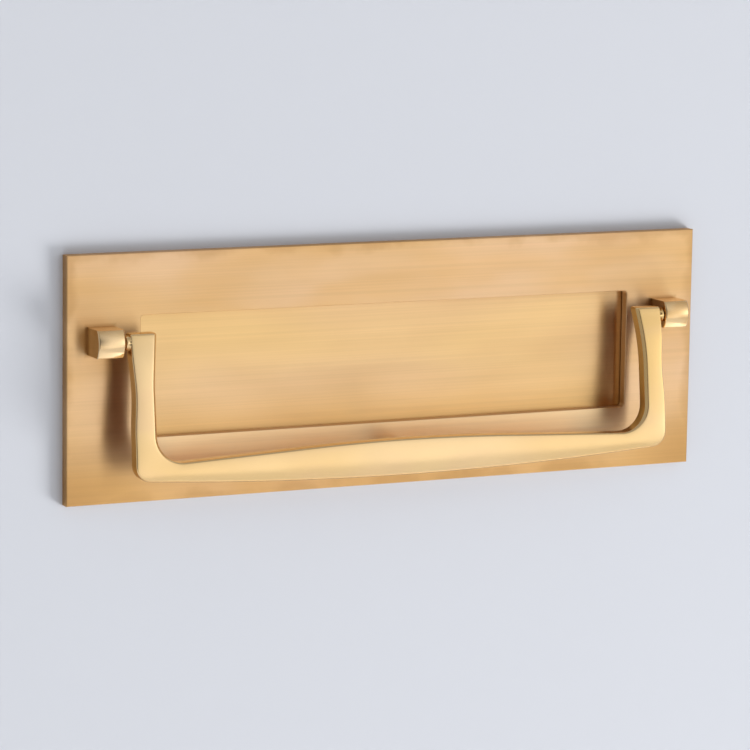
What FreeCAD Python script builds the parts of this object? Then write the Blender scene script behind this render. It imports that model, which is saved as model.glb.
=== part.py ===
"""Brass letter plate with a postal knocker, for a door 44 mm thick.

Units are millimetres. The origin is the middle of the plate's rear rim, where it bears on the door.
+X runs along the plate to the right as seen from outside, +Y goes into the door, +Z is up.
"""

import FreeCAD
import Part

import math
import os

# Face plate
PLATE_LENGTH = 254.0
PLATE_HEIGHT = 90.0
PLATE_THICKNESS = 4.1
PLATE_EDGE_ROUND = 0.35
RIM_WIDTH = 6.0
BACK_RECESS = 0.6

# Letter slot in the plate
SLOT_HALF_LENGTH = 98.8
SLOT_TOP = 22.6
SLOT_BOTTOM = -21.8
SLOT_CORNER = 1.2

# The two sides carry the same fittings, 9 inches apart
SIDE_X = 114.3
SIDES = {"left": -1, "right": 1}

# Square posts that carry the knocker
POST_WIDTH = 10.0
POST_Z = 14.3
POST_SIDE_REACH = 10.8
POST_CROWN = 1.7
POST_CROSS_RADIUS = 26.0
POST_EDGE_ROUND = 0.6
PIVOT_REACH = 9.0
BORE_RADIUS = 2.15
BORE_DEPTH = 6.4
POST_TAPPED_DEPTH = 4.9
POST_SCREW_GRIP = 4.7

# Knocker
TRUNNION_RADIUS = 2.1
COLLAR_RADIUS = 2.9
COLLAR_LENGTH = 1.5
TRUNNION_END_GAP = 0.4
ARM_OUTER_X = 107.2
ARM_INNER_X = 98.9
ARM_TOP = 17.6
KNOCKER_REACH = 30.0
ARM_BEVEL = 0.9
KNOCKER_EDGE_ROUND = 0.5
BAR_TOP_MIDDLE = -25.3
BAR_TOP_END = -28.5
BAR_BOTTOM_MIDDLE = -38.6
BAR_BOTTOM_END = -34.2
BAR_CROWN_X = 45.0
BAR_CROWN_DROP = 1.2
INNER_CORNER = 10.0
OUTER_CORNER = 5.5
KNOCKER_REST_GAP = 0.1
# (y, z) points down the middle of its front and of its back
KNOCKER_FRONT = ((-15.0, 17.6), (-17.6, 7.0), (-19.6, -7.0), (-21.2, -21.0), (-21.9, -31.0), (-20.6, -39.0))
KNOCKER_BACK = ((-9.8, 17.6), (-12.4, 7.0), (-14.4, -7.0), (-16.0, -21.0), (-16.7, -31.0), (-17.1, -39.0))

# Striker stud behind the knocker's bar
STRIKER_Z = -32.5
STRIKER_FOOT_RADIUS = 4.5
STRIKER_NECK_RADIUS = 2.7
STRIKER_HEAD_RADIUS = 3.9
STRIKER_FOOT_LENGTH = 1.6
STRIKER_NECK_LENGTH = 6.8
STRIKER_HEAD_ROUND = 0.8
STRIKER_TAIL_LENGTH = 2.7
STRIKER_HOLE_SPARE = 0.2

# Flap that hangs inside the door
FLAP_HALF_LENGTH = 102.0
FLAP_TOP = 25.5
FLAP_BOTTOM = -27.0
FLAP_THICKNESS = 2.5
FLAP_GAP = 0.35
HINGE_Y = 5.6
HINGE_Z = 25.0
HINGE_CLEARANCE = 0.05
FLAP_EAR_INNER_X = 91.0
FLAP_EAR_OUTER_X = 95.0
FLAP_EAR_BOTTOM = 15.0
EAR_RADIUS = 3.3

# Hinge rod, brackets and clips
ROD_RADIUS = 1.75
ROD_FIT = 0.01
ROD_HALF_LENGTH = 107.4
BRACKET_INNER_X = 92.0
BRACKET_EAR_X = 102.8
BRACKET_OUTER_X = 105.4
BRACKET_EAR_RADIUS = 3.6
BRACKET_EAR_BOTTOM = 18.0
BRACKET_THICKNESS = 2.0
BRACKET_BOTTOM = 29.6
BRACKET_TOP = 38.2
BRACKET_SCREW_X = (95.2, 100.0)
CLIP_THICKNESS = 0.7
CLIP_RADIUS = 3.3
CLIP_GROOVE = 0.35
CLIP_GAP = 2.2

# Flap springs
SPRING_WIRE_RADIUS = 0.45
SPRING_RADIUS = 2.8
SPRING_INNER_X = 80.0
SPRING_OUTER_X = 89.5
SPRING_LEG_LENGTH = 14.0
SPRING_REST_Z = 34.0

# Rubber buffers that the flap closes on
BUFFER_X = 60.0
BUFFER_LENGTH = 14.0
BUFFER_HEIGHT = 3.4
BUFFER_THICKNESS = 1.0
BUFFER_GAP = 0.03

# Fixings through the door
DOOR_THICKNESS = 44.0
BOSS_RADIUS = 6.0
BOSS_REACH = 8.0
SPIGOT_RADIUS = 4.0
SPIGOT_DEPTH = 1.5
STUD_RADIUS = 3.0
THREAD_RADIUS = 2.7
THREAD_FIT = 0.02
STUD_END = 54.0
WASHER_RADIUS = 6.25
WASHER_THICKNESS = 1.6
NUT_ACROSS_FLATS = 10.0
NUT_THICKNESS = 5.0

# Small screws
M4_RADIUS = 2.0
M4_HEAD_RADIUS = 3.8
M3_RADIUS = 1.5
M3_HEAD_RADIUS = 2.3
M3_HEAD_HEIGHT = 1.6
M3_DEPTH = 2.4
M3_HOLE_DEPTH = 2.5
SCREW_FIT = 0.03
CLEARANCE_HOLE = 0.15
WASHER_PLAY = 0.2
M4_DRIVE_WIDTH = 0.8
M4_DRIVE_DEPTH = 0.9
M3_DRIVE_WIDTH = 0.7
M3_DRIVE_DEPTH = 0.8
M3_HEAD_ROUND = 0.4

# Faces that several pieces share
FRONT_Y = -PLATE_THICKNESS
PANEL_Y = -BACK_RECESS
PIVOT_Y = FRONT_Y - PIVOT_REACH
FLAP_FRONT_Y = PANEL_Y + FLAP_GAP
FLAP_BACK_Y = FLAP_FRONT_Y + FLAP_THICKNESS
POST_INNER_X = SIDE_X - POST_WIDTH / 2


def vector(x, y, z):
    return FreeCAD.Vector(x, y, z)


def block(x0, x1, y0, y1, z0, z1):
    """A box between two corners, given in any order."""
    low = vector(min(x0, x1), min(y0, y1), min(z0, z1))
    return Part.makeBox(abs(x1 - x0), abs(y1 - y0), abs(z1 - z0), low)


def round_along_x(radius, x0, x1, y, z):
    return Part.makeCylinder(radius, abs(x1 - x0), vector(min(x0, x1), y, z), vector(1, 0, 0))


def round_along_y(radius, y0, y1, x, z):
    return Part.makeCylinder(radius, abs(y1 - y0), vector(x, min(y0, y1), z), vector(0, 1, 0))


def cone_along_y(radius0, radius1, y0, y1, x, z):
    """A cone with radius0 at y0 and radius1 at y1, where y1 is the larger."""
    return Part.makeCone(radius0, radius1, y1 - y0, vector(x, y0, z), vector(0, 1, 0))


def line(start, end):
    return Part.LineSegment(start, end).toShape()


def arc(start, middle, end):
    return Part.Arc(start, middle, end).toShape()


def prism(edges, direction):
    """The solid swept by a closed flat outline along a straight direction."""
    face = Part.Face(Part.Wire(Part.__sortEdges__(edges)))
    return face.extrude(direction)


def on_side(shape, sign):
    """The shape as built for the right side, or its mirror image for the left."""
    if sign > 0:
        return shape
    return shape.mirror(vector(0, 0, 0), vector(1, 0, 0))


def edges_where(shape, test):
    """The edges whose every sampled point passes the test."""
    found = []
    for edge in shape.Edges:
        first, last = edge.ParameterRange
        points = [edge.valueAt(first + (last - first) * share) for share in (0.05, 0.5, 0.95)]
        if all(test(point) for point in points):
            found.append(edge)
    return found


def near(value, target, tolerance=0.01):
    return abs(value - target) < tolerance


def save(shape, node):
    """Writes one node. Every solid in it has to be valid."""
    if not shape.isValid():
        raise ValueError(node + " isn't a valid shape")
    shape.exportStep("parts/" + node + ".step")


def slot_cutter():
    """The letter slot with its rounded corners."""
    cutter = block(
        -SLOT_HALF_LENGTH, SLOT_HALF_LENGTH, FRONT_Y - 1, 1, SLOT_BOTTOM, SLOT_TOP
    )
    corners = edges_where(cutter, lambda p: near(abs(p.x), SLOT_HALF_LENGTH) and
                          (near(p.z, SLOT_TOP) or near(p.z, SLOT_BOTTOM)))
    return cutter.makeFillet(SLOT_CORNER, corners)


def face_plate():
    """The plate: a flat front, a bearing rim behind and a shallow panel inside the rim."""
    half_length = PLATE_LENGTH / 2
    half_height = PLATE_HEIGHT / 2
    plate = block(-half_length, half_length, FRONT_Y, 0, -half_height, half_height)
    plate = plate.cut(slot_cutter())
    plate = plate.makeFillet(
        PLATE_EDGE_ROUND, edges_where(plate, lambda p: near(p.y, FRONT_Y))
    )
    panel_x = half_length - RIM_WIDTH
    panel_z = half_height - RIM_WIDTH
    plate = plate.cut(block(-panel_x, panel_x, PANEL_Y, 1, -panel_z, panel_z))
    holes = [striker_hole()]
    for sign in SIDES.values():
        x = sign * SIDE_X
        holes.append(round_along_y(M4_RADIUS + CLEARANCE_HOLE, FRONT_Y - 1, 0, x, POST_Z))
        holes.append(countersink(x, POST_Z))
        holes.append(round_along_y(SPIGOT_RADIUS + SCREW_FIT, PANEL_Y - SPIGOT_DEPTH, 0, x, 0))
        for screw_x in BRACKET_SCREW_X:
            holes.append(round_along_y(
                M3_RADIUS + SCREW_FIT, PANEL_Y - M3_HOLE_DEPTH, 0, sign * screw_x, bracket_screw_z()
            ))
        holes.append(on_side(buffer_pad(SCREW_FIT), sign))
    return plate.cut(Part.makeCompound(holes))


def countersink(x, z):
    """The seat of a post screw's head, open at the back panel."""
    depth = M4_HEAD_RADIUS - M4_RADIUS
    return cone_along_y(M4_RADIUS + SCREW_FIT, M4_HEAD_RADIUS + SCREW_FIT, PANEL_Y - depth, PANEL_Y, x, z)


def striker_hole():
    """A blind hole in the plate's front, a little deeper than the striker's tail."""
    return round_along_y(
        M4_RADIUS + SCREW_FIT, FRONT_Y - 1, FRONT_Y + STRIKER_TAIL_LENGTH + STRIKER_HOLE_SPARE, 0, STRIKER_Z
    )


def post():
    """A square post whose end is crowned both ways. It carries one trunnion in a blind bore."""
    edge_y = FRONT_Y - POST_SIDE_REACH
    crown_y = edge_y - POST_CROWN
    half = POST_WIDTH / 2
    tube_radius = (half**2 + POST_CROWN**2) / (2 * POST_CROWN)
    ring = Part.makeTorus(
        POST_CROSS_RADIUS - tube_radius, tube_radius,
        vector(SIDE_X, crown_y + POST_CROSS_RADIUS, POST_Z), vector(0, 0, 1),
    )
    join_y = crown_y + POST_WIDTH * 0.6
    end = block(SIDE_X - half, SIDE_X + half, crown_y - 1, join_y, POST_Z - half, POST_Z + half)
    foot = block(SIDE_X - half, SIDE_X + half, join_y, FRONT_Y, POST_Z - half, POST_Z + half)
    body = end.common(ring).fuse(foot).removeSplitter()
    body = body.makeFillet(POST_EDGE_ROUND, edges_where(body, lambda p: p.y < edge_y + 1.0))
    bore = round_along_x(BORE_RADIUS, POST_INNER_X - 1, POST_INNER_X + BORE_DEPTH, PIVOT_Y, POST_Z)
    tapped = round_along_y(M4_RADIUS + SCREW_FIT, FRONT_Y - POST_TAPPED_DEPTH, FRONT_Y + 1, SIDE_X, POST_Z)
    return body.cut(bore).cut(tapped)


def post_screw():
    """A countersunk M4 screw, its head flush with the back panel."""
    depth = M4_HEAD_RADIUS - M4_RADIUS
    head = cone_along_y(M4_RADIUS, M4_HEAD_RADIUS, PANEL_Y - depth, PANEL_Y, SIDE_X, POST_Z)
    shank = round_along_y(M4_RADIUS, FRONT_Y - POST_SCREW_GRIP, PANEL_Y - depth, SIDE_X, POST_Z)
    screw = head.fuse(shank).removeSplitter()
    slot = block(
        SIDE_X - M4_HEAD_RADIUS, SIDE_X + M4_HEAD_RADIUS,
        PANEL_Y - M4_DRIVE_DEPTH, PANEL_Y + 1,
        POST_Z - M4_DRIVE_WIDTH / 2, POST_Z + M4_DRIVE_WIDTH / 2,
    )
    return screw.cut(slot)


def knocker_face():
    """The knocker as it shows from the front: two arms and a bar that is deepest in its middle."""
    def at(x, z):
        return vector(x, FRONT_Y, z)

    corner_x = ARM_INNER_X - INNER_CORNER
    corner_z = BAR_TOP_END + INNER_CORNER
    slant = INNER_CORNER * math.sqrt(0.5)
    crown_z = BAR_TOP_MIDDLE - BAR_CROWN_DROP
    edges = [
        arc(at(-ARM_OUTER_X, BAR_BOTTOM_END), at(0, BAR_BOTTOM_MIDDLE), at(ARM_OUTER_X, BAR_BOTTOM_END)),
        arc(at(-BAR_CROWN_X, crown_z), at(0, BAR_TOP_MIDDLE), at(BAR_CROWN_X, crown_z)),
    ]
    for s in SIDES.values():
        edges += [
            line(at(s * ARM_OUTER_X, BAR_BOTTOM_END), at(s * ARM_OUTER_X, ARM_TOP)),
            line(at(s * ARM_OUTER_X, ARM_TOP), at(s * ARM_INNER_X, ARM_TOP)),
            line(at(s * ARM_INNER_X, ARM_TOP), at(s * ARM_INNER_X, corner_z)),
            arc(at(s * ARM_INNER_X, corner_z), at(s * (corner_x + slant), corner_z - slant),
                at(s * corner_x, BAR_TOP_END)),
            line(at(s * corner_x, BAR_TOP_END), at(s * BAR_CROWN_X, crown_z)),
        ]
    body = prism(edges, vector(0, -KNOCKER_REACH, 0))
    corners = edges_where(body, lambda p: near(abs(p.x), ARM_OUTER_X) and near(p.z, BAR_BOTTOM_END))
    return body.makeFillet(OUTER_CORNER, corners)


def smooth(points):
    """One smooth curve through a few points."""
    curve = Part.BSplineCurve()
    curve.interpolate(points)
    return curve.toShape()


def knocker_side():
    """The knocker's sweep seen from its end: the arms bow forward and the bar's front is rounded."""
    x0 = -ARM_OUTER_X - 1
    front = [vector(x0, y, z) for y, z in KNOCKER_FRONT]
    back = [vector(x0, y, z) for y, z in KNOCKER_BACK]
    edges = [
        smooth(front),
        line(front[-1], back[-1]),
        smooth(back),
        line(back[0], front[0]),
    ]
    return prism(edges, vector(2 * (ARM_OUTER_X + 1), 0, 0))


def between(points, z):
    """The y of a line through (y, z) points at height z."""
    for (y0, z0), (y1, z1) in zip(points, points[1:]):
        if z1 <= z <= z0:
            return y0 + (y1 - y0) * (z - z0) / (z1 - z0)
    raise ValueError("z is off the end of the line")


def knocker_middle_y(z):
    """The y half way through the knocker's depth at height z."""
    z = min(max(z, KNOCKER_FRONT[-1][1]), KNOCKER_FRONT[0][1])
    return (between(KNOCKER_FRONT, z) + between(KNOCKER_BACK, z)) / 2


def is_inner(point):
    """True along the sides of the arms that face each other and along the bar's top."""
    return abs(point.x) < ARM_INNER_X + 0.1 and BAR_TOP_END - 0.1 < point.z < ARM_TOP - 0.1


def knocker():
    """One casting: bar, two arms, and the collared trunnions that turn in the posts."""
    body = knocker_face().common(knocker_side())
    inner_front = edges_where(body, lambda p: p.y < knocker_middle_y(p.z) - 1 and is_inner(p))
    body = body.makeChamfer(ARM_BEVEL, inner_front)
    rest_of_front = edges_where(
        body, lambda p: p.y < knocker_middle_y(p.z) - 1 and (abs(p.x) > ARM_OUTER_X - 0.1 or
                                                            p.z < BAR_BOTTOM_END + 4.5)
        and not is_inner(p)
    )
    body = body.makeFillet(KNOCKER_EDGE_ROUND, rest_of_front)
    for sign in SIDES.values():
        start = sign * (ARM_OUTER_X - 3)
        end = sign * (POST_INNER_X + BORE_DEPTH - TRUNNION_END_GAP)
        trunnion = round_along_x(TRUNNION_RADIUS, start, end, PIVOT_Y, POST_Z)
        shoulder = sign * (ARM_OUTER_X + COLLAR_LENGTH)
        collar = round_along_x(COLLAR_RADIUS, start, shoulder, PIVOT_Y, POST_Z)
        body = body.fuse([trunnion, collar])
    return body.removeSplitter()


def striker_stud():
    """A turned stud that the bar falls on, screwed into the plate."""
    neck_y = FRONT_Y - STRIKER_FOOT_LENGTH
    head_y = neck_y - STRIKER_NECK_LENGTH
    end_y = striker_end_y()
    foot = round_along_y(STRIKER_FOOT_RADIUS, neck_y, FRONT_Y, 0, STRIKER_Z)
    neck = round_along_y(STRIKER_NECK_RADIUS, head_y, neck_y, 0, STRIKER_Z)
    head = round_along_y(STRIKER_HEAD_RADIUS, end_y, head_y, 0, STRIKER_Z)
    head = head.makeFillet(STRIKER_HEAD_ROUND, edges_where(head, lambda p: near(p.y, end_y)))
    tail = round_along_y(M4_RADIUS, FRONT_Y, FRONT_Y + STRIKER_TAIL_LENGTH, 0, STRIKER_Z)
    return foot.fuse([neck, head, tail]).removeSplitter()


def striker_end_y():
    """Just short of the bar's back at the height of the top of the striker's head."""
    return between(KNOCKER_BACK, STRIKER_Z + STRIKER_HEAD_RADIUS) + KNOCKER_REST_GAP


def ear_outline(x, radius, y0, z0, z1):
    """A plate's outline in a YZ plane: square against a face at y0 and round about the hinge."""
    def at(y, z):
        return vector(x, y, z)

    return [
        line(at(y0, z1), at(HINGE_Y, HINGE_Z + radius)),
        arc(at(HINGE_Y, HINGE_Z + radius), at(HINGE_Y + radius, HINGE_Z), at(HINGE_Y, HINGE_Z - radius)),
        line(at(HINGE_Y, HINGE_Z - radius), at(y0, z0)),
        line(at(y0, z0), at(y0, z1)),
    ]


def flap():
    """A flat flap with two ears behind its top edge that turn on the rod."""
    body = block(
        -FLAP_HALF_LENGTH, FLAP_HALF_LENGTH, FLAP_FRONT_Y, FLAP_BACK_Y, FLAP_BOTTOM, FLAP_TOP
    )
    for sign in SIDES.values():
        ear = prism(
            ear_outline(FLAP_EAR_INNER_X, EAR_RADIUS, FLAP_BACK_Y, FLAP_EAR_BOTTOM, FLAP_TOP),
            vector(FLAP_EAR_OUTER_X - FLAP_EAR_INNER_X, 0, 0),
        )
        body = body.fuse(on_side(ear, sign))
    body = body.removeSplitter()
    bore = round_along_x(
        ROD_RADIUS + HINGE_CLEARANCE, -FLAP_HALF_LENGTH, FLAP_HALF_LENGTH, HINGE_Y, HINGE_Z
    )
    return body.cut(bore)


def hinge_rod():
    """The steel rod, grooved at each end for a clip."""
    rod = round_along_x(ROD_RADIUS, -ROD_HALF_LENGTH, ROD_HALF_LENGTH, HINGE_Y, HINGE_Z)
    grooves = []
    for sign in SIDES.values():
        x0 = sign * BRACKET_OUTER_X
        x1 = sign * (BRACKET_OUTER_X + CLIP_THICKNESS + 0.1)
        outer = round_along_x(ROD_RADIUS + 1, x0, x1, HINGE_Y, HINGE_Z)
        core = round_along_x(ROD_RADIUS - CLIP_GROOVE, x0, x1, HINGE_Y, HINGE_Z)
        grooves.append(outer.cut(core))
    return rod.cut(Part.makeCompound(grooves))


def rod_clip():
    """An open ring snapped into the rod's groove, its gap facing down."""
    x0 = BRACKET_OUTER_X + 0.05
    x1 = x0 + CLIP_THICKNESS
    ring = round_along_x(CLIP_RADIUS, x0, x1, HINGE_Y, HINGE_Z)
    hole = round_along_x(ROD_RADIUS - CLIP_GROOVE + SCREW_FIT, x0, x1, HINGE_Y, HINGE_Z)
    gap = block(
        x0 - 1, x1 + 1,
        HINGE_Y - CLIP_GAP / 2, HINGE_Y + CLIP_GAP / 2,
        HINGE_Z - CLIP_RADIUS - 1, HINGE_Z,
    )
    return ring.cut(hole).cut(gap)


def bracket_screw_z():
    return (BRACKET_BOTTOM + BRACKET_TOP) / 2


def hinge_bracket():
    """An angle bracket: a foot screwed to the plate and an ear that holds the rod's end."""
    foot_back = PANEL_Y + BRACKET_THICKNESS
    foot = block(
        BRACKET_INNER_X, BRACKET_OUTER_X, PANEL_Y, foot_back, BRACKET_BOTTOM, BRACKET_TOP
    )
    ear = prism(
        ear_outline(BRACKET_EAR_X, BRACKET_EAR_RADIUS, PANEL_Y, BRACKET_EAR_BOTTOM, BRACKET_TOP),
        vector(BRACKET_OUTER_X - BRACKET_EAR_X, 0, 0),
    )
    body = foot.fuse(ear).removeSplitter()
    holes = [round_along_x(
        ROD_RADIUS + ROD_FIT, BRACKET_EAR_X - 1, BRACKET_OUTER_X + 1, HINGE_Y, HINGE_Z
    )]
    for x in BRACKET_SCREW_X:
        holes.append(round_along_y(
            M3_RADIUS + CLEARANCE_HOLE, PANEL_Y - 1, foot_back + 1, x, bracket_screw_z()
        ))
    return body.cut(Part.makeCompound(holes))


def bracket_screw(x):
    """An M3 cheese-head screw that holds a bracket's foot."""
    head_y = PANEL_Y + BRACKET_THICKNESS
    z = bracket_screw_z()
    top_y = head_y + M3_HEAD_HEIGHT
    head = round_along_y(M3_HEAD_RADIUS, head_y, top_y, x, z)
    head = head.makeFillet(M3_HEAD_ROUND, edges_where(head, lambda p: near(p.y, top_y)))
    shank = round_along_y(M3_RADIUS, PANEL_Y - M3_DEPTH, head_y, x, z)
    slot = block(
        x - M3_HEAD_RADIUS, x + M3_HEAD_RADIUS,
        top_y - M3_DRIVE_DEPTH, top_y + 1,
        z - M3_DRIVE_WIDTH / 2, z + M3_DRIVE_WIDTH / 2,
    )
    return head.fuse(shank).removeSplitter().cut(slot)


def spring_leg(x, start, end):
    """A straight length of spring wire in the plane at x, from one (y, z) point to another."""
    a = vector(x, start[0], start[1])
    b = vector(x, end[0], end[1])
    return Part.makeCylinder(SPRING_WIRE_RADIUS, (b - a).Length, a, b - a)


def flap_spring():
    """A torsion spring: a coil on the rod, one leg on the flap's back and one on the plate."""
    outer = round_along_x(
        SPRING_RADIUS + SPRING_WIRE_RADIUS, SPRING_INNER_X, SPRING_OUTER_X, HINGE_Y, HINGE_Z
    )
    inner = round_along_x(
        SPRING_RADIUS - SPRING_WIRE_RADIUS, SPRING_INNER_X, SPRING_OUTER_X, HINGE_Y, HINGE_Z
    )
    coil = outer.cut(inner)
    front_y = HINGE_Y - SPRING_RADIUS
    flap_leg = spring_leg(
        SPRING_INNER_X + SPRING_WIRE_RADIUS, (front_y, HINGE_Z), (front_y, HINGE_Z - SPRING_LEG_LENGTH)
    )
    rest = (PANEL_Y + SPRING_WIRE_RADIUS + 0.1, SPRING_REST_Z)
    tangent = tangent_point(rest)
    plate_leg = spring_leg(SPRING_OUTER_X - SPRING_WIRE_RADIUS, tangent, rest)
    spring = coil.fuse([flap_leg, plate_leg])
    return spring.cut(
        round_along_x(SPRING_RADIUS - SPRING_WIRE_RADIUS, SPRING_INNER_X - 1, SPRING_OUTER_X + 1,
                      HINGE_Y, HINGE_Z)
    )


def tangent_point(point):
    """Where a line from a (y, z) point in front of the coil, over its top, touches its mean circle."""
    dy, dz = point[0] - HINGE_Y, point[1] - HINGE_Z
    distance = math.hypot(dy, dz)
    angle = math.atan2(dz, dy) - math.acos(SPRING_RADIUS / distance)
    return HINGE_Y + SPRING_RADIUS * math.cos(angle), HINGE_Z + SPRING_RADIUS * math.sin(angle)


def buffer_pad(grow=0.0):
    """A rubber pad let into the plate's back. The pocket for it is the same shape, grown a little."""
    front = PANEL_Y - BUFFER_THICKNESS + (FLAP_GAP - BUFFER_GAP)
    back = PANEL_Y + FLAP_GAP - BUFFER_GAP
    low = SLOT_BOTTOM - 1.0 - BUFFER_HEIGHT
    return block(
        BUFFER_X - grow, BUFFER_X + BUFFER_LENGTH + grow,
        front, back,
        low - grow, low + BUFFER_HEIGHT + grow,
    )


def fixing_boss():
    """A brass pillar brazed to the plate and tapped M6 for a fixing stud."""
    pillar = round_along_y(BOSS_RADIUS, PANEL_Y, BOSS_REACH, SIDE_X, 0)
    pillar = pillar.makeChamfer(0.6, edges_where(pillar, lambda p: near(p.y, BOSS_REACH)))
    spigot = round_along_y(SPIGOT_RADIUS, PANEL_Y - SPIGOT_DEPTH, PANEL_Y, SIDE_X, 0)
    tapped = round_along_y(THREAD_RADIUS + THREAD_FIT, PANEL_Y, BOSS_REACH + 1, SIDE_X, 0)
    return pillar.fuse(spigot).removeSplitter().cut(tapped)


def fixing_stud():
    """An M6 stud. Its threaded ends have the thread's mean radius."""
    middle_end = DOOR_THICKNESS - 0.1
    root = round_along_y(THREAD_RADIUS, PANEL_Y + 0.2, BOSS_REACH, SIDE_X, 0)
    middle = round_along_y(STUD_RADIUS, BOSS_REACH, middle_end, SIDE_X, 0)
    end = round_along_y(THREAD_RADIUS, middle_end, STUD_END, SIDE_X, 0)
    end = end.makeChamfer(0.6, edges_where(end, lambda p: near(p.y, STUD_END)))
    return root.fuse([middle, end]).removeSplitter()


def fixing_washer():
    y0, y1 = DOOR_THICKNESS, DOOR_THICKNESS + WASHER_THICKNESS
    washer = round_along_y(WASHER_RADIUS, y0, y1, SIDE_X, 0)
    return washer.cut(round_along_y(STUD_RADIUS + WASHER_PLAY, y0 - 1, y1 + 1, SIDE_X, 0))


def fixing_nut():
    """A hexagon nut with its corners turned back on both faces."""
    y0 = DOOR_THICKNESS + WASHER_THICKNESS
    corner = NUT_ACROSS_FLATS / math.sqrt(3)
    points = []
    for step in range(7):
        angle = math.radians(60 * step)
        points.append(vector(SIDE_X + corner * math.cos(angle), y0, corner * math.sin(angle)))
    nut = Part.Face(Part.makePolygon(points)).extrude(vector(0, NUT_THICKNESS, 0))
    turned = round_along_y(corner, y0, y0 + NUT_THICKNESS, SIDE_X, 0)
    turned = turned.makeChamfer(0.5, edges_where(turned, lambda p: near(p.y, y0) or
                                                 near(p.y, y0 + NUT_THICKNESS)))
    bore = round_along_y(THREAD_RADIUS + THREAD_FIT, y0 - 1, y0 + NUT_THICKNESS + 1, SIDE_X, 0)
    return nut.common(turned).cut(bore)


def main():
    os.makedirs("parts", exist_ok=True)
    save(face_plate(), "face_plate")
    save(knocker(), "knocker")
    save(striker_stud(), "striker_stud")
    save(flap(), "flap")
    save(hinge_rod(), "hinge_rod")
    for side, sign in SIDES.items():
        save(on_side(post(), sign), "post_" + side)
        save(on_side(post_screw(), sign), "post_screw_" + side)
        save(on_side(hinge_bracket(), sign), "hinge_bracket_" + side)
        save(on_side(rod_clip(), sign), "rod_clip_" + side)
        save(on_side(flap_spring(), sign), "flap_spring_" + side)
        save(on_side(buffer_pad(), sign), "flap_buffer_" + side)
        save(on_side(fixing_boss(), sign), "fixing_boss_" + side)
        save(on_side(fixing_stud(), sign), "fixing_stud_" + side)
        save(on_side(fixing_washer(), sign), "fixing_washer_" + side)
        save(on_side(fixing_nut(), sign), "fixing_nut_" + side)
        for number, x in enumerate(BRACKET_SCREW_X, start=1):
            save(on_side(bracket_screw(x), sign), "bracket_screw_" + side + "_" + str(number))


main()
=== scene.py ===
"""Looks for the brass letter plate: materials, the sculpted knocker, springs, threads, wall and light."""

import math

import bmesh
import bpy
from mathutils import Matrix, Vector


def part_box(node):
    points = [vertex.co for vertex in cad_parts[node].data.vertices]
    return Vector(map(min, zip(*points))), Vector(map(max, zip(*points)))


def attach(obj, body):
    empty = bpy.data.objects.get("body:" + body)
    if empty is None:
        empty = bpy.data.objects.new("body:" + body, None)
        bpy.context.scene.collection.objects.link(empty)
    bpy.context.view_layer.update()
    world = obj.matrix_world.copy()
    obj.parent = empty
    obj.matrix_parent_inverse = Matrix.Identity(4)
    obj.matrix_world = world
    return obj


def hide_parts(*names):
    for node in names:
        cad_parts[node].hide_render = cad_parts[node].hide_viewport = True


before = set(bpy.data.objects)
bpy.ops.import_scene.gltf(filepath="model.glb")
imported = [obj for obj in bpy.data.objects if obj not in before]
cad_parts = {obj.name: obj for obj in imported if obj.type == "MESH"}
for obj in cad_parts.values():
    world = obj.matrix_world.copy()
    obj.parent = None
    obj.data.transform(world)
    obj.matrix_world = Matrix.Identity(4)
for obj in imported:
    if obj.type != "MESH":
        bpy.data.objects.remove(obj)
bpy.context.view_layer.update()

MM = 0.001

# Camera
CAMERA_PLACE = (-0.583006, -1.214891, 0.207945)
CAMERA_TURN = 25.47
CAMERA_DIP = 8.98
CAMERA_ROLL = 0.85
CAMERA_LENS = 177.29
SENSOR_WIDTH = 36.0

# Stage
WALL_SIZE = 5.0
WALL_COLOUR = (0.685, 0.70, 0.745, 1.0)
CUT_OUT_INSET = 0.0001
FLOOR_DROP = 2.3
FLOOR_COLOUR = (0.78, 0.79, 0.80, 1.0)
FLOOR_GLOW = 0.58
MATT = 0.9

# Light: the key stands low on the right, and the rear light stands behind the door
KEY_HEADING = (58.0, -28.0)
KEY_DISTANCE = 3.2
KEY_SIZE = 1.2
KEY_POWER = 74.0
REAR_PLACE = (0.8, 1.4, 0.9)
REAR_SIZE = 1.2
REAR_POWER = 12.0

# The room round the object: each panel is (to the right, above level, tightness, strength)
ROOM = 0.42
ROOM_DARKEST = 0.1
ROOM_COLOUR = (0.97, 0.98, 1.0, 1.0)
PANELS = (
    (30.0, 5.0, 4.0, 0.56),
    (50.0, 1.0, 45.0, 1.2),
    (20.0, -24.0, 8.0, 0.42),
    (-12.0, 8.0, 18.0, -0.9),
    (98.0, 0.0, 12.0, -0.3),
)
BACKDROP = 0.85

# Knocker, in millimetres, with its CAD solid's outline
ARM_OUTER = 107.2
ARM_INNER = 98.9
ARM_TOP = 17.6
INNER_CORNER = 10.0
OUTER_CORNER = 5.5
BAR_TOP = (-25.3, -26.5, -28.5)
BAR_CROWN_X = 45.0
BAR_BOTTOM = (-38.6, -34.2)
FRONT_LINE = ((17.6, -15.0), (7.0, -17.6), (-7.0, -19.6), (-21.0, -21.2), (-31.0, -21.9), (-39.0, -21.3))
BACK_LINE = ((17.6, -9.8), (7.0, -12.4), (-7.0, -14.4), (-21.0, -16.0), (-31.0, -16.7), (-39.0, -17.1))
ARM_DEPTH = 5.2
TOP_ROUND = 0.8
ARM_FLARE = 2.0
FLARE_LENGTH = 20.0
ARM_WAIST = 0.7
WAIST_TOP = 11.0
BACK_ROUND = 0.5

# The section of an arm and of the bar: inner bevel, outer edge round and crown
ARM_SECTION = (1.0, 0.5, 0.12)
BAR_SECTION = (0.5, 0.7, 0.25)

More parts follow.
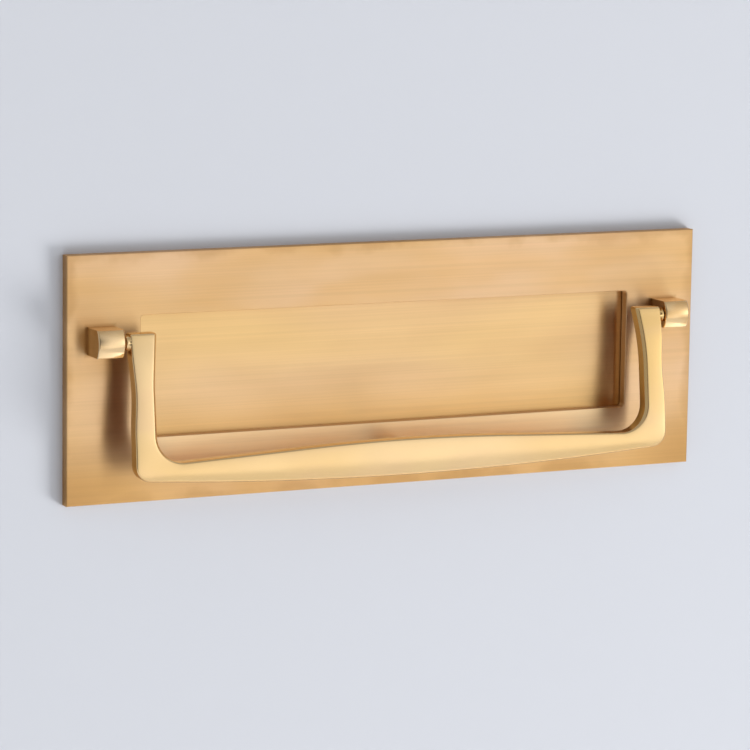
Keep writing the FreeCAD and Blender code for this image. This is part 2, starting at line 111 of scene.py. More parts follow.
# Trunnions
PIVOT = (-13.1, 14.3)
TRUNNION_RADIUS = 2.1
TRUNNION_END = 115.2
TRUNNION_CHAMFER = 0.3
COLLAR_RADIUS = 2.7
COLLAR_LENGTH = 1.5
COLLAR_ROUND = 0.35

# Hinge axis of the flap, and its springs
HINGE = (5.6, 25.0)
COIL_RADIUS = 2.8
COIL_TURNS = 9
COIL_POINTS = 260
WIRE_RADIUS = 0.45

# Stud threads
THREAD_PITCH = 1.0
THREAD_RADII = (2.5, 2.95)
THREAD_START = 43.9
THREAD_RUN_OUT = 0.6
POINT_DROP = 0.25
STUD_RADIUS = 3.0
STUD_SHOULDER = 8.0
STUD_SIDES = 36
STEPS_PER_TURN = 12

# Metals, wire and rubber, as linear colours
BRASS = (0.78, 0.49, 0.225, 1.0)
BRASS_PINK = (0.83, 0.55, 0.32, 1.0)
BRASS_AMBER = (0.74, 0.42, 0.14, 1.0)
# Brown for the plate's rim and lower corners, and painted shade round the posts' feet and under the knocker
BRASS_BROWN_AND_SHADE = (0.52, 0.28, 0.10, 1.0)
BRASS_OLIVE = (0.87, 0.575, 0.25, 1.0)
POLISHED = (0.90, 0.64, 0.335, 1.0)
POLISHED_GOLD = (0.85, 0.565, 0.235, 1.0)
# Tarnish, also used as painted shade on side faces, slot walls and the posts
TARNISH_AND_SHADE = (0.36, 0.185, 0.065, 1.0)
# Painted shade: the dark brown of the back of the knocker's arms
ARM_BACK_SHADE = (0.20, 0.095, 0.03, 1.0)
# Painted reflection: the deeper gold of the knocker's sides
SIDE_REFLECTION_GOLD = (0.84, 0.60, 0.29, 1.0)
# Painted reflection: the bright strip below the slot
STRIP_SHEEN = (0.96, 0.70, 0.40, 1.0)
# Painted shade: the darker amber of the flap's bottom
FLAP_SHADE_AMBER = (0.86, 0.53, 0.19, 1.0)
POST_BRASS = (0.85, 0.61, 0.34, 1.0)
DRAWN_BRASS = (0.62, 0.42, 0.19, 1.0)
ZINC = (0.58, 0.59, 0.61, 1.0)
ZINC_GREY = (0.44, 0.45, 0.47, 1.0)
SPRING_GREY = (0.36, 0.36, 0.37, 1.0)
SPRING_DARK = (0.24, 0.235, 0.235, 1.0)
RUBBER_BLACK = (0.018, 0.018, 0.019, 1.0)
RUBBER_DUST = (0.055, 0.052, 0.048, 1.0)

# Brushing: how far gloss spreads up and down, and its turn
BRUSH_SPREAD = 0.9
BRUSH_TURN = 0.25

# Places on the plate, in metres from its middle
PLATE_HALF = (0.127, 0.045)
POST_PLACE = (0.1143, 0.0143)
STRIP_Z = -0.0252

# The middle range of a noise
MIDDLE_OF_NOISE = (0.3, 0.7)

# Ramps: from one value to another, and the amounts at the two. Places are in metres
RIM_WANDER = (0.3, 0.7, -0.0015, 0.003)
RIM_BROWN = (0.0, 0.005, 0.45, 0.0)
LOW_AMBER = (-0.044, -0.022, 0.55, 0.0)
LEFT_CORNER_X = (-0.127, -0.09, 1.0, 0.0)
LEFT_CORNER_Z = (-0.045, -0.012, 0.7, 0.0)
RIGHT_CORNER_X = (0.09, 0.127, 0.0, 1.0)
RIGHT_CORNER_Z = (-0.042, -0.015, 0.6, 0.0)
# Painted shade: a brown ring round each post's foot
PLATE_SHADE_ROUND_POSTS = (0.0049, 0.0066, 0.7, 0.0)
# Painted reflection: where the strip below the slot is lightened
STRIP_SHEEN_X = (0.088, 0.1, 1.0, 0.0)
STRIP_SHEEN_Z = (0.0028, 0.0055, 0.9, 0.0)
# Painted shade: the flap darkens towards its bottom
FLAP_LOW_SHADE = (-0.027, 0.0, 0.8, 0.0)
FRONT_FACING = (-0.4, 0.0, 1.0, 0.0)
# Side faces, slot walls and backs: tarnish, partly painted shade
SIDE_TARNISH_AND_SHADE = (-0.85, -0.35, 0.0, 1.0)
# Painted reflection: how much of the deeper gold the knocker's sides get
KNOCKER_SIDE_REFLECTION = (-0.88, -0.45, 0.0, 0.8)
# Painted shade: how brown the knocker's downward faces are
KNOCKER_UNDER_SHADE = (-0.6, -0.25, 0.85, 0.0)
# Painted shade on the back of the knocker's arms: how much by facing, and where along X
KNOCKER_BACK_SHADE = (0.1, 0.6, 0.0, 1.0)
SHADED_ARMS_X = (0.078, 0.092, 0.0, 1.0)
# Painted shade on the posts: towards the plate, on their sides and on their right sides
POST_BASE_SHADE = (-0.0075, -0.0045, 0.0, 0.6)
POST_SIDE_SHADE = (-0.6, -0.2, 0.0, 0.15)
POST_RIGHT_SHADE = (0.4, 0.6, 0.0, 0.6)


class Graph:
    """A node tree whose nodes are made in short calls."""

    def __init__(self, data, shader_type):
        self.data = data
        self.data.use_nodes = True
        self.tree = self.data.node_tree
        self.shader = next(n for n in self.tree.nodes if n.type == shader_type)

    def node(self, kind, inputs=(), **settings):
        made = self.tree.nodes.new(kind)
        for key, value in settings.items():
            setattr(made, key, value)
        for key, value in dict(inputs).items():
            if isinstance(value, bpy.types.NodeSocket):
                self.tree.links.new(value, made.inputs[key])
            else:
                made.inputs[key].default_value = value
        return made

    def math(self, operation, first, second=0.0):
        return self.node("ShaderNodeMath", {0: first, 1: second}, operation=operation).outputs[0]


class Material(Graph):
    """A principled material: axes say where a point is, and facing says which way its surface looks."""

    def __init__(self, name, metallic, roughness):
        super().__init__(bpy.data.materials.new(name), "BSDF_PRINCIPLED")
        self.shader.inputs["Metallic"].default_value = metallic
        self.shader.inputs["Roughness"].default_value = roughness
        source = self.tree.nodes.new("ShaderNodeTexCoord")
        self.place = source.outputs["Object"]
        self.axes = self.node("ShaderNodeSeparateXYZ", {0: self.place}).outputs
        self.facing = self.node("ShaderNodeSeparateXYZ", {0: source.outputs["Normal"]}).outputs

    def noise(self, scale, detail, rough=0.5):
        """Noise whose scale is given along each axis, per metre."""
        stretched = self.node("ShaderNodeVectorMath", {0: self.place, 1: scale}, operation="MULTIPLY")
        made = self.node("ShaderNodeTexNoise", {
            "Vector": stretched.outputs[0], "Scale": 1.0, "Detail": detail, "Roughness": rough,
        })
        return made.outputs["Fac"]

    def even_noise(self, scale, detail, rough=0.5):
        """Noise with the same scale along every axis, per metre."""
        return self.noise((scale, scale, scale), detail, rough)

    def remap(self, value, low, high, to_low=0.0, to_high=1.0):
        made = self.node("ShaderNodeMapRange", {
            "Value": value, "From Min": low, "From Max": high, "To Min": to_low, "To Max": to_high,
        }, interpolation_type="SMOOTHSTEP")
        return made.outputs["Result"]

    def blend(self, factor, first, second, how="MIX"):
        made = self.node("ShaderNodeMix", data_type="RGBA", blend_type=how)
        for key, value in ((0, factor), (6, first), (7, second)):
            if isinstance(value, bpy.types.NodeSocket):
                self.tree.links.new(value, made.inputs[key])
            else:
                made.inputs[key].default_value = value
        return made.outputs[2]

    def feed(self, key, value):
        self.tree.links.new(value, self.shader.inputs[key])

    def bump(self, height, distance, strength):
        made = self.node("ShaderNodeBump", {"Height": height, "Distance": distance, "Strength": strength})
        self.feed("Normal", made.outputs["Normal"])


def clouds(m, first, second, third, size):
    """Soft change between three tones, at a size in metres and at less than half of it, drawn out along X."""
    large = m.remap(m.noise((0.6 / size, 1 / size, 1.5 / size), 1.5, 0.4), *MIDDLE_OF_NOISE)
    small = m.remap(m.noise((1.5 / size, 3 / size, 4 / size), 1.5, 0.4), 0.4, 0.8)
    return m.blend(m.math("MULTIPLY", small, 0.5), m.blend(large, first, second), third)


def brushed(m):
    """Brushed along X: gloss spreads up and down much more than sideways."""
    m.shader.inputs["Anisotropic"].default_value = BRUSH_SPREAD
    m.shader.inputs["Anisotropic Rotation"].default_value = BRUSH_TURN
    m.feed("Tangent", m.node("ShaderNodeCombineXYZ", {0: 1.0}).outputs[0])


def scratches(m, colour, across, contrast):
    """Fine polishing lines along X: the colour changes a little from line to line."""
    line = m.noise((5, across, across), 3.0, 0.7)
    tone = m.remap(line, *MIDDLE_OF_NOISE, 1.0 - contrast, 1.0 + contrast)
    shade = m.node("ShaderNodeCombineColor", {0: tone, 1: tone, 2: tone}).outputs[0]
    return line, m.blend(1.0, colour, shade, "MULTIPLY")


def distance(m, value, place):
    """How far a value is from a place, either way."""
    return m.math("ABSOLUTE", m.math("SUBTRACT", value, place))


def to_rim(m):
    """Distance in from the plate's rim, with a wandering edge."""
    side = m.math("SUBTRACT", PLATE_HALF[0], m.math("ABSOLUTE", m.axes[0]))
    end = m.math("SUBTRACT", PLATE_HALF[1], m.math("ABSOLUTE", m.axes[2]))
    wander = m.remap(m.even_noise(60, 3.0), *RIM_WANDER)
    return m.math("ADD", m.math("MINIMUM", side, end), wander)


def brown_corner(m, across, up):
    return m.math("MULTIPLY", m.remap(m.axes[0], *across), m.remap(m.axes[2], *up))


def brown_and_shade_places(m, front):
    """How brown the plate is along its rim and in its lower corners, with painted shade in front round the
    posts' feet.
    """
    rim = m.remap(to_rim(m), *RIM_BROWN)
    corners = m.math(
        "MAXIMUM",
        brown_corner(m, LEFT_CORNER_X, LEFT_CORNER_Z),
        brown_corner(m, RIGHT_CORNER_X, RIGHT_CORNER_Z),
    )
    post_x = distance(m, m.math("ABSOLUTE", m.axes[0]), POST_PLACE[0])
    post_z = distance(m, m.axes[2], POST_PLACE[1])
    # Painted shade: a brown ring round each post's foot
    post = m.math("MULTIPLY", m.remap(m.math("MAXIMUM", post_x, post_z), *PLATE_SHADE_ROUND_POSTS), front)
    return m.math("MAXIMUM", m.math("MAXIMUM", rim, corners), post)


def strip_sheen(m, front):
    """How much the strip below the slot is lightened in front: a painted reflection."""
    across = m.remap(m.math("ABSOLUTE", m.axes[0]), *STRIP_SHEEN_X)
    below = m.remap(distance(m, m.axes[2], STRIP_Z), *STRIP_SHEEN_Z)
    return m.math("MULTIPLY", m.math("MULTIPLY", below, across), front)


def plate_material():
    m = Material("plate_brass", 1.0, 0.33)
    brushed(m)
    front = m.remap(m.facing[1], *FRONT_FACING)
    side = m.remap(m.facing[1], *SIDE_TARNISH_AND_SHADE)
    colour = clouds(m, BRASS, BRASS_PINK, BRASS_AMBER, 0.055)
    colour = m.blend(m.remap(m.axes[2], *LOW_AMBER), colour, BRASS_AMBER)
    # Painted reflection: the strip below the slot is lightened
    colour = m.blend(strip_sheen(m, front), colour, STRIP_SHEEN)
    colour = m.blend(brown_and_shade_places(m, front), colour, BRASS_BROWN_AND_SHADE)
    line, colour = scratches(m, colour, 1100, 0.03)
    # Tarnish on the sides, slot walls and back, partly painted shade that keeps the slot walls dark
    m.feed("Base Color", m.blend(m.math("MULTIPLY", side, 0.25), colour, TARNISH_AND_SHADE))
    spots = m.remap(m.noise((25, 70, 110), 2.0), *MIDDLE_OF_NOISE, 0.30, 0.36)
    m.feed("Roughness", m.math("ADD", spots, m.math("MULTIPLY", side, 0.08)))
    m.bump(line, 0.00001, 0.15)
    return m.data


def flap_material():
    m = Material("flap_brass", 1.0, 0.33)
    brushed(m)
    side = m.remap(m.facing[1], *SIDE_TARNISH_AND_SHADE)
    colour = clouds(m, BRASS_OLIVE, BRASS_PINK, BRASS, 0.07)
    # Painted shade: the flap turns a darker amber towards its bottom
    colour = m.blend(m.remap(m.axes[2], *FLAP_LOW_SHADE), colour, FLAP_SHADE_AMBER)
    line, colour = scratches(m, colour, 1300, 0.03)
    # Tarnish on the flap's edges and back, partly painted shade in the slot
    m.feed("Base Color", m.blend(m.math("MULTIPLY", side, 0.7), colour, TARNISH_AND_SHADE))
    m.feed("Roughness", m.remap(m.noise((20, 60, 120), 2.0), *MIDDLE_OF_NOISE, 0.30, 0.35))
    m.bump(line, 0.00001, 0.15)
    return m.data


def polished_material():
    """The knocker: bright brass in front, with painted light elsewhere: a deeper gold at its sides as a
    painted reflection, brown painted shade underneath and dark painted shade on the back of its arms.
    """
    m = Material("knocker_brass", 1.0, 0.24)
    colour = clouds(m, POLISHED, POLISHED_GOLD, BRASS_PINK, 0.045)
    # Painted reflection: faces that look away from the front get a deeper gold, as if mirroring the brass
    # beside them
    colour = m.blend(m.remap(m.facing[1], *KNOCKER_SIDE_REFLECTION), colour, SIDE_REFLECTION_GOLD)
    # Painted shade: faces that look down are turned brown
    colour = m.blend(m.remap(m.facing[2], *KNOCKER_UNDER_SHADE), colour, BRASS_BROWN_AND_SHADE)
    # Painted shade: the back of the arms is made dark, so that their reflections in the plate come out dark
    arms = m.remap(m.math("ABSOLUTE", m.axes[0]), *SHADED_ARMS_X)
    back = m.math("MULTIPLY", m.remap(m.facing[1], *KNOCKER_BACK_SHADE), arms)
    m.feed("Base Color", m.blend(back, colour, ARM_BACK_SHADE))
    shine = m.remap(m.even_noise(60, 2.0), *MIDDLE_OF_NOISE, 0.20, 0.27)
    m.feed("Roughness", m.math("ADD", shine, m.math("MULTIPLY", back, 0.2)))
    m.bump(m.even_noise(900, 2.0), 0.000006, 0.1)
    return m.data


def post_material():
    m = Material("post_brass", 1.0, 0.2)
    colour = clouds(m, POST_BRASS, POLISHED, BRASS_AMBER, 0.014)
    # Painted shade: the posts darken towards the plate, a little on their sides, and most on their right
    # sides
    post_foot_shade = m.remap(m.axes[1], *POST_BASE_SHADE)
    side = m.math("MAXIMUM", m.remap(m.facing[1], *POST_SIDE_SHADE), m.remap(m.facing[0], *POST_RIGHT_SHADE))
    m.feed("Base Color", m.blend(m.math("MAXIMUM", post_foot_shade, side), colour, TARNISH_AND_SHADE))
    m.feed("Roughness", m.remap(m.even_noise(220, 2.0), *MIDDLE_OF_NOISE, 0.12, 0.18))
    m.bump(m.even_noise(1200, 2.0), 0.000006, 0.1)
    return m.data


def fitting_material():
    """Drawn brass as it comes from the mill, dulled behind the plate."""
    m = Material("fitting_brass", 1.0, 0.36)
    colour = clouds(m, DRAWN_BRASS, BRASS_AMBER, TARNISH_AND_SHADE, 0.012)
    line, colour = scratches(m, colour, 1800, 0.08)
    m.feed("Base Color", colour)
    m.feed("Roughness", m.remap(m.even_noise(300, 4.0, 0.6), *MIDDLE_OF_NOISE, 0.28, 0.45))
    m.bump(line, 0.00003, 0.3)
    return m.data


def mottle(m, scale, span, tones, roughness):
    """Blotches of two tones, each with its roughness."""
    blotch = m.remap(m.even_noise(scale, 4.0, 0.6), *span)
    m.feed("Base Color", m.blend(blotch, *tones))
    m.feed("Roughness", m.remap(blotch, 0.0, 1.0, *roughness))


def steel_material():
    """Zinc plate, with its cloudy bloom."""
    m = Material("steel", 1.0, 0.3)
    mottle(m, 260, (0.35, 0.65), (ZINC, ZINC_GREY), (0.24, 0.38))
    m.bump(m.even_noise(1500, 3.0, 0.6), 0.00004, 0.15)
    return m.data


def spring_material():
    """Drawn wire with a grey oil-tempered skin."""
    m = Material("spring_steel", 1.0, 0.3)
    mottle(m, 700, (0.35, 0.65), (SPRING_GREY, SPRING_DARK), (0.26, 0.4))
    m.bump(m.even_noise(2200, 2.0), 0.00002, 0.15)
    return m.data


def rubber_material():
    """Black rubber with a little dust on it."""
    m = Material("rubber", 0.0, 0.7)
    mottle(m, 240, (0.45, 0.75), (RUBBER_BLACK, RUBBER_DUST), (0.55, 0.85))
    m.bump(m.even_noise(1800, 4.0, 0.6), 0.00006, 0.4)
    return m.data


def dress(node, material):
    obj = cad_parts[node]
    obj.data.materials.clear()
    obj.data.materials.append(material)


def dress_cad_nodes():
    """Every CAD node's finish, by its name; the knocker, springs and studs are replaced later."""
    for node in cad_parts:
        if node == "face_plate":
            dress(node, finish["plate brass"])
        elif node == "flap":
            dress(node, finish["flap brass"])
        elif node.startswith(("hinge_bracket", "fixing_boss")):
            dress(node, finish["fitting brass"])
        elif node.startswith("flap_buffer"):
            dress(node, finish["rubber"])
        elif node == "striker_stud":
            dress(node, finish["knocker brass"])
        elif node.startswith("post") and "screw" not in node:
            dress(node, finish["post brass"])
        else:
            dress(node, finish["steel"])


def stage_material(name, colour, glow=0.0):
    """A plain matt surface that can't be seen from behind, and may glow a little, evenly."""
    m = Material(name, 0.0, MATT)
    m.shader.inputs["Base Color"].default_value = colour
    m.shader.inputs["Specular IOR Level"].default_value = 0.0
    m.shader.inputs["Emission Color"].default_value = colour
    m.shader.inputs["Emission Strength"].default_value = glow
    clear = m.node("ShaderNodeBsdfTransparent")
    back = m.node("ShaderNodeNewGeometry").outputs["Backfacing"]
    mix = m.node("ShaderNodeMixShader", {0: back, 1: m.shader.outputs[0], 2: clear.outputs[0]})
    out = next(n for n in m.tree.nodes if n.type == "OUTPUT_MATERIAL")
    m.tree.links.new(mix.outputs[0], out.inputs["Surface"])
    return m.data


def mesh_object(name, points, faces):
    mesh = bpy.data.meshes.new(name)
    mesh.from_pydata([tuple(p) for p in points], [], faces)
    mesh.validate()
    obj = bpy.data.objects.new(name, mesh)
    bpy.context.scene.collection.objects.link(obj)
    return obj


def replace_node(obj, slot, body, *nodes):
    """Puts a sculpted piece in a CAD node's place."""
    obj.data.materials.append(finish[slot])
    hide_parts(*nodes)
    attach(obj, body)


def smooth_line(points, at):
    """The value at a place on a smooth curve through (place, value) points, whose places fall."""
    at = min(max(at, points[-1][0]), points[0][0])
    i = next(k for k in range(len(points) - 1) if at >= points[k + 1][0])
    (p0, v0), (p1, v1) = points[i], points[i + 1]

    def slope(k):
        low, high = max(k - 1, 0), min(k + 1, len(points) - 1)
        return (points[high][1] - points[low][1]) / (points[high][0] - points[low][0])

    span = p1 - p0
    t = (at - p0) / span
    return ((2 * t**3 - 3 * t**2 + 1) * v0 + (t**3 - 2 * t**2 + t) * span * slope(i)
            + (3 * t**2 - 2 * t**3) * v1 + (t**3 - t**2) * span * slope(i + 1))


def bar_bottom(x):
    middle, end = BAR_BOTTOM
    radius = (ARM_OUTER**2 + (end - middle) ** 2) / (2 * (end - middle))
    return middle + radius - math.sqrt(radius**2 - x**2)


def bar_top(x):
    middle, crown, end = BAR_TOP
    if abs(x) > BAR_CROWN_X:
        share = (abs(x) - BAR_CROWN_X) / (ARM_INNER - INNER_CORNER - BAR_CROWN_X)
        return crown + (end - crown) * share
    radius = (BAR_CROWN_X**2 + (middle - crown) ** 2) / (2 * (middle - crown))
    return middle - radius + math.sqrt(radius**2 - x**2)


def inside_outline(x, z):
    """Whether a point is inside the knocker's outer outline, with its rounded corner."""
    if x > ARM_OUTER or z < bar_bottom(min(x, ARM_OUTER)):
        return False
    corner = (ARM_OUTER - OUTER_CORNER, bar_bottom(ARM_OUTER - OUTER_CORNER) + OUTER_CORNER)
    if x > corner[0] and z < corner[1]:
        return math.hypot(x - corner[0], z - corner[1]) < OUTER_CORNER
    return True


def outer_point(angle):
    """Where a line from the inner corner's centre meets the outer outline."""
    x0, z0 = ARM_INNER - INNER_CORNER, BAR_TOP[2] + INNER_CORNER
    low, high = 0.0, 40.0
    for _ in range(30):
        middle = (low + high) / 2
        if inside_outline(x0 + middle * math.cos(angle), z0 - middle * math.sin(angle)):
            low = middle
        else:
            high = middle
    return x0 + low * math.cos(angle), z0 - low * math.sin(angle)


def half_stations():
    """From arm top to bar middle: an outer point, an inner point, bevel, edge round and crown."""
    stations = []
    corner_x, corner_z = ARM_INNER - INNER_CORNER, BAR_TOP[2] + INNER_CORNER
    steps = 30
    for k in range(steps):
        z = ARM_TOP - TOP_ROUND + (corner_z - ARM_TOP + TOP_ROUND) * k / steps
        flare = ARM_FLARE * max(0.0, 1 - (ARM_TOP - z) / FLARE_LENGTH) ** 1.5
        down = min(max((WAIST_TOP - z) / (WAIST_TOP - corner_z), 0.0), 1.0)
        waist = ARM_WAIST * math.sin(math.pi * down) ** 2
        stations.append(((ARM_OUTER - waist, z), (ARM_INNER - flare, z), *ARM_SECTION))
    steps = 24
    for k in range(steps):
        share = k / steps
        angle = math.pi / 2 * share
        inner = (corner_x + INNER_CORNER * math.cos(angle), corner_z - INNER_CORNER * math.sin(angle))
        ease = share * share * (3 - 2 * share)
        section_here = [arm + (bar - arm) * ease for arm, bar in zip(ARM_SECTION, BAR_SECTION)]
        stations.append((outer_point(angle), inner, *section_here))
    steps = 44
    for k in range(steps + 1):
        x = corner_x * (1 - k / steps)
        stations.append(((x, bar_bottom(x)), (x, bar_top(x)), *BAR_SECTION))
    return stations


def section(length, depth, bevel, edge, crown):
    """Points round the knocker's section: (across from the outer side, in from the front)."""
    turn = [math.pi / 2 * k / 5 for k in range(6)]
    back = BACK_ROUND
    points = [(back - back * math.sin(t), depth - back + back * math.cos(t)) for t in turn]
    points += [(edge - edge * math.cos(t), edge - edge * math.sin(t)) for t in turn]
    flat = length - bevel - edge
    for k in range(1, 10):
        t = k / 10
        points.append((edge + flat * t, -crown * (1 - (2 * t - 1) ** 2)))
    start, small = length - bevel, bevel * 0.18
    points += [(start - small, 0.0), (start + small * 0.4, small * 0.4), (start + small, small)]
    points += [(length - small, bevel - small), (length - small * 0.4, bevel - small * 0.4)]
    points += [(length, bevel + small)]
    points += [(length - back + back * math.cos(t), depth - back + back * math.sin(t)) for t in turn]
    for k in range(1, 5):
        points.append((length - back - (length - 2 * back) * k / 5, depth))
    return points


def section_ring(station, rise=0.0, inset=0.0):
    """One ring of the knocker's skin. Past an arm's top it is drawn in by the inset."""
    (ox, oz), (ix, iz), bevel, edge, crown = station
    length = math.hypot(ix - ox, iz - oz)
    across = ((ix - ox) / length, (iz - oz) / length)
    ring = []
    for a, d in section(length, ARM_DEPTH, bevel, edge, crown):
        a += inset * (1 - 2 * a / length)
        d += inset * (1 - 2 * d / ARM_DEPTH)
        x, z = ox + across[0] * a, oz + across[1] * a + rise
        front, back = smooth_line(FRONT_LINE, z), smooth_line(BACK_LINE, z)
        ring.append(Vector((x, front + (back - front) * d / ARM_DEPTH, z)) * MM)
    return ring


def skin(rings, name):
    """A closed mesh through rings of points, with flat ends."""
    count = len(rings[0])
    points = [p for ring in rings for p in ring]
    faces = []
    for r in range(len(rings) - 1):
        for k in range(count):
            n = (k + 1) % count
            faces.append((r * count + k, r * count + n, (r + 1) * count + n, (r + 1) * count + k))
    faces.append(tuple(reversed(range(count))))
    faces.append(tuple(range((len(rings) - 1) * count, len(rings) * count)))
    obj = mesh_object(name, points, faces)
    obj.data.shade_smooth()
    return obj


def knocker_body():
    stations = half_stations()
    top = []
    for k in range(5, 0, -1):
        t = math.pi / 2 * k / 5
        top.append(section_ring(stations[0], TOP_ROUND * math.sin(t), TOP_ROUND * (1 - math.cos(t))))
    half = top + [section_ring(station) for station in stations]
    other = [[Vector((-p.x, p.y, p.z)) for p in ring] for ring in half]
    return skin(half + other[-2::-1], "knocker_casting")


def trunnion(sign):
    """A trunnion with its collar, which keeps the arm off the post."""
    shoulder, edge = ARM_OUTER + COLLAR_LENGTH, COLLAR_ROUND
    profile = [(ARM_OUTER - edge, COLLAR_RADIUS), (shoulder - edge, COLLAR_RADIUS)]
    for k in range(1, 7):
        t = math.pi / 2 * k / 6
        profile.append((shoulder - edge * (1 - math.sin(t)), COLLAR_RADIUS - edge * (1 - math.cos(t))))
    profile.append((shoulder, TRUNNION_RADIUS))
    profile.append((TRUNNION_END - TRUNNION_CHAMFER, TRUNNION_RADIUS))
    profile.append((TRUNNION_END, TRUNNION_RADIUS - TRUNNION_CHAMFER))
    return skin([circle(sign * x, radius, *PIVOT) for x, radius in profile], "trunnion")


def circle(x, radius, y0, z0, sides=48):
    turn = [2 * math.pi * k / sides for k in range(sides)]
    return [Vector((x, y0 + radius * math.cos(t), z0 + radius * math.sin(t))) * MM for t in turn]


def face_outwards(obj):
    mesh = bmesh.new()
    mesh.from_mesh(obj.data)
    bmesh.ops.recalc_face_normals(mesh, faces=mesh.faces)
    mesh.to_mesh(obj.data)
    mesh.free()


def fuse(obj, tool):
    """Joins a second closed mesh to the first, as one skin."""
    union = obj.modifiers.new("fuse", "BOOLEAN")
    union.operation = "UNION"
    union.solver = "EXACT"
    union.object = tool
    view = bpy.context.evaluated_depsgraph_get()
    fused = bpy.data.meshes.new_from_object(obj.evaluated_get(view))
    obj.modifiers.clear()
    obj.data = fused
    bpy.data.objects.remove(tool)


def knocker():
    body = knocker_body()
    face_outwards(body)
    for sign in (-1, 1):
        stub = trunnion(sign)
        face_outwards(stub)
        fuse(body, stub)
    body.data.shade_smooth()
    body.data.materials.clear()
    replace_node(body, "knocker brass", "knocker", "knocker")


def wire(name, points, radius):
    """Round wire along a line of points in millimetres."""
    curve = bpy.data.curves.new(name, "CURVE")
    curve.dimensions = "3D"
    curve.bevel_depth = radius * MM
    curve.bevel_resolution = 4
    curve.use_fill_caps = True
    spline = curve.splines.new("POLY")
    spline.points.add(len(points) - 1)
    for target, point in zip(spline.points, points):
        target.co = (point[0] * MM, point[1] * MM, point[2] * MM, 1.0)
    spline.use_smooth = True
    obj = bpy.data.objects.new(name, curve)
    bpy.context.scene.collection.objects.link(obj)
    return obj


def flap_spring(side, sign):
    """A wound torsion spring: the coil and the plate's leg stay, and the flap's leg goes with the flap."""
    low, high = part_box("flap_spring_" + side)
    far = max(abs(low.x), abs(high.x)) / MM - WIRE_RADIUS
    near = min(abs(low.x), abs(high.x)) / MM + WIRE_RADIUS
    rest = (low.y / MM + WIRE_RADIUS, high.z / MM - WIRE_RADIUS)
    dy, dz = rest[0] - HINGE[0], rest[1] - HINGE[1]
    leave = math.atan2(dz, dy) - math.acos(COIL_RADIUS / math.hypot(dy, dz))
    total = COIL_TURNS * 2 * math.pi + math.pi - leave
    points = [(sign * far, rest[0], rest[1])]
    for k in range(COIL_POINTS + 1):
        angle = leave + total * k / COIL_POINTS
        x = far - (far - near) * k / COIL_POINTS
        y = HINGE[0] + COIL_RADIUS * math.cos(angle)
        z = HINGE[1] + COIL_RADIUS * math.sin(angle)
        points.append((sign * x, y, z))
    coil = wire("spring_coil_" + side, points, WIRE_RADIUS)
    replace_node(coil, "spring steel", "plate_assembly", "flap_spring_" + side)
    front = HINGE[0] - COIL_RADIUS
    leg = wire("spring_leg_" + side, [
        (sign * near, front, HINGE[1] + 0.4),
        (sign * near, front, HINGE[1] - 1.0),
        (sign * near, front, low.z / MM + 0.6),
        (sign * near, front + 0.15, low.z / MM),
    ], WIRE_RADIUS)
    replace_node(leg, "spring steel", "flap", "flap_spring_" + side)


def thread_radius(y, share, end):
    """The radius at a height along the stud and a share of its way round, tapered at the stud's end."""
    taper = min(1.0, (end - y) / THREAD_RUN_OUT)
    phase = (y / THREAD_PITCH - share) % 1.0
    height = 1 - abs(2 * phase - 1)
    low, high = THREAD_RADII
    return low - POINT_DROP * (1 - taper) + (high - low) * height * taper


def threaded_stud(side):
    """The stud with real threads on the end that takes the nut."""
    low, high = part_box("fixing_stud_" + side)
    x = (low.x + high.x) / 2 / MM
    end = high.y / MM
    plain = (
        (low.y / MM, THREAD_RADII[0]),
        (STUD_SHOULDER, THREAD_RADII[0]),
        (STUD_SHOULDER, STUD_RADIUS),
        (THREAD_START - 0.4, STUD_RADIUS),
    )
    rings = [(y, [radius] * STUD_SIDES) for y, radius in plain]
    steps = int((end - THREAD_START) / THREAD_PITCH * STEPS_PER_TURN)
    for k in range(steps + 1):
        y = THREAD_START + (end - THREAD_START) * k / steps
        rings.append((y, [thread_radius(y, j / STUD_SIDES, end) for j in range(STUD_SIDES)]))
    loops = []
    for y, radii in rings:
        loop = []
        for j, radius in enumerate(radii):
            angle = 2 * math.pi * j / STUD_SIDES
            loop.append(Vector((x + radius * math.cos(angle), y, radius * math.sin(angle))) * MM)
        loops.append(loop)
    obj = skin(loops, "stud_" + side)
    face_outwards(obj)
    obj.data.set_sharp_from_angle(angle=math.radians(35))
    replace_node(obj, "steel", "plate_assembly", "fixing_stud_" + side)


def wall():
    """The door's face, left out behind the plate so that the back can be seen."""
    half = WALL_SIZE / 2
    plate_low, plate_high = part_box("face_plate")
    x = plate_high.x - CUT_OUT_INSET
    low, high = plate_low.z + CUT_OUT_INSET, plate_high.z - CUT_OUT_INSET
    outer = [(-half, -half), (half, -half), (half, half), (-half, half)]
    inner = [(-x, low), (x, low), (x, high), (-x, high)]
    points = [(px, 0.0, pz) for px, pz in outer + inner]
    faces = [(i, (i + 1) % 4, 4 + (i + 1) % 4, 4 + i) for i in range(4)]
    obj = mesh_object("wall", points, faces)
    obj.data.materials.append(stage_material("wall_paint", WALL_COLOUR))
    return obj


def floor():
    half = WALL_SIZE
    corners = ((-half, -half), (half, -half), (half, half), (-half, half))
    obj = mesh_object("floor", [(x, y, -FLOOR_DROP) for x, y in corners], [(0, 1, 2, 3)])
    obj.data.materials.append(stage_material("floor_paint", FLOOR_COLOUR, FLOOR_GLOW))
    return obj


def area_light(name, place, size, power, only=()):
    """A soft square light that faces the object, and may light only some of the scene."""
    data = bpy.data.lights.new(name, "AREA")
    data.size = size
    data.energy = power
    obj = bpy.data.objects.new(name, data)
    obj.location = place
    obj.rotation_euler = (-Vector(place)).to_track_quat("-Z", "Y").to_euler()
    obj.visible_camera = False
    bpy.context.scene.collection.objects.link(obj)
    if only:
        lit = bpy.data.collections.new(name + "_lit")
        for piece in only:
            lit.objects.link(piece)
        obj.light_linking.receiver_collection = lit


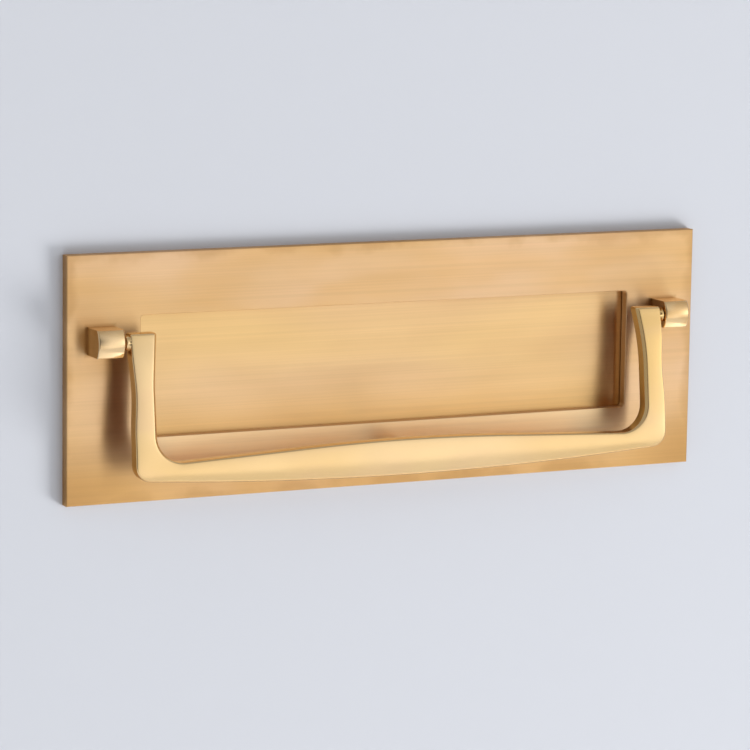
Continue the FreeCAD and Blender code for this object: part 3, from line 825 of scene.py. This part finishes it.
def heading(side, rise):
    """The direction at an angle to the right of straight out of the door, and above level."""
    a, e = math.radians(side), math.radians(rise)
    return Vector((math.sin(a) * math.cos(e), -math.cos(a) * math.cos(e), math.sin(e)))


def studio():
    """The room that lights the metal: even, with brighter and darker panels, behind a plain backdrop."""
    world = bpy.data.worlds.new("studio")
    bpy.context.scene.world = world
    graph = Graph(world, "BACKGROUND")
    sight = graph.tree.nodes.new("ShaderNodeTexCoord").outputs["Generated"]
    total = ROOM
    for side, rise, spread, strength in PANELS:
        ends = {0: sight, 1: heading(side, rise)}
        facing = graph.node("ShaderNodeVectorMath", ends, operation="DOT_PRODUCT").outputs["Value"]
        lobe = graph.math("POWER", graph.math("MAXIMUM", facing, 0.0), spread)
        total = graph.math("ADD", graph.math("MULTIPLY", lobe, strength), total)
    total = graph.math("MAXIMUM", total, ROOM_DARKEST)
    seen = graph.node("ShaderNodeLightPath").outputs["Is Camera Ray"]
    shown = graph.math("MULTIPLY", seen, BACKDROP)
    kept = graph.math("MULTIPLY", graph.math("SUBTRACT", 1.0, seen), total)
    graph.tree.links.new(graph.math("ADD", shown, kept), graph.shader.inputs["Strength"])
    graph.shader.inputs["Color"].default_value = ROOM_COLOUR


def light(stage):
    """A low key gives the door its shadows; the metal is lit by the room, and by a light at the rear."""
    studio()
    area_light("key", heading(*KEY_HEADING) * KEY_DISTANCE, KEY_SIZE, KEY_POWER, stage)
    area_light("rear", REAR_PLACE, REAR_SIZE, REAR_POWER)


def camera():
    data = bpy.data.cameras.new("camera")
    data.lens = CAMERA_LENS
    data.sensor_width = SENSOR_WIDTH
    data.dof.use_dof = False
    obj = bpy.data.objects.new("camera", data)
    turn = Matrix.Rotation(math.radians(-CAMERA_TURN), 4, "Z")
    dip = Matrix.Rotation(math.radians(90 - CAMERA_DIP), 4, "X")
    roll = Matrix.Rotation(math.radians(CAMERA_ROLL), 4, "Z")
    obj.matrix_world = Matrix.Translation(CAMERA_PLACE) @ turn @ dip @ roll
    bpy.context.scene.collection.objects.link(obj)
    bpy.context.scene.camera = obj


camera()
bpy.context.scene.view_settings.view_transform = "Standard"
finish = {
    "plate brass": plate_material(),
    "flap brass": flap_material(),
    "knocker brass": polished_material(),
    "post brass": post_material(),
    "fitting brass": fitting_material(),
    "steel": steel_material(),
    "spring steel": spring_material(),
    "rubber": rubber_material(),
}
dress_cad_nodes()
knocker()
for side, sign in (("left", -1), ("right", 1)):
    flap_spring(side, sign)
    threaded_stud(side)
light((wall(), floor()))
